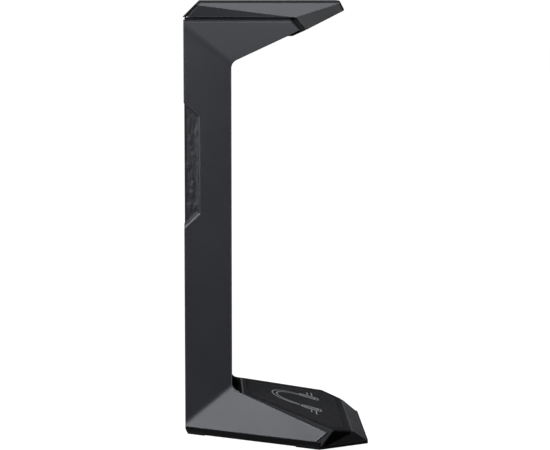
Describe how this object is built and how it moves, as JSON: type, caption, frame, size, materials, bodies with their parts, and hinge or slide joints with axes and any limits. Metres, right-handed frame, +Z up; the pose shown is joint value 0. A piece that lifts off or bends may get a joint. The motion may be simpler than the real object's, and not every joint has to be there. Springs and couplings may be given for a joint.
{
  "type": "headphone stand",
  "caption": "Free-standing C-shaped headphone stand: flared foot, tapering column and forward arm with a faceted cover, on a weighted base with a sloping rubber mat.",
  "frame": {"origin": "on the table, under the middle of the outline", "axes": "+Z up; the arm and the deck point towards -Y; X is sideways, the object is symmetric about X = 0"},
  "size_m": [0.1198, 0.1118, 0.268],
  "materials": {
    "shell_paint": "satin, fine grain",
    "cover_paint": "satin, fine grain",
    "frame_plastic": "matte",
    "strip_plastic": "satin",
    "relief_plastic": "matte relief",
    "deck_plastic": "satin",
    "tray_plastic": "matte",
    "mat_rubber": "fine woven texture",
    "mat_print": "printed line",
    "grip_rubber": "matte",
    "foot_rubber": "matte",
    "adhesive_film": "clear film",
    "spine_steel": "plain",
    "ballast_steel": "plain",
    "screw_steel": "blackened",
    "washer_steel": "zinc",
    "insert_brass": "knurled"
  },
  "bodies": {
    "root": {"side_shell_left": "shell_paint", "side_shell_right": "shell_paint", "core_frame": "frame_plastic", "steel_spine": "spine_steel", "spine_insert": "relief_plastic", "column_front_cover": "strip_plastic", "top_cover": "cover_paint", "headband_grip": "grip_rubber", "grip_adhesive": "adhesive_film", "base_deck": "deck_plastic", "base_mat": "mat_rubber", "mat_adhesive": "adhesive_film", "ballast_plate": "ballast_steel", "base_tray": "tray_plastic", "foot_rear": "foot_rubber", "foot_front": "foot_rubber", "shell_screws": "screw_steel", "cover_screws": "screw_steel", "column_screws": "screw_steel", "base_screws": "screw_steel", "ballast_screws": "screw_steel", "column_washers": "washer_steel", "threaded_inserts": "insert_brass"}
  },
  "joints": []
}
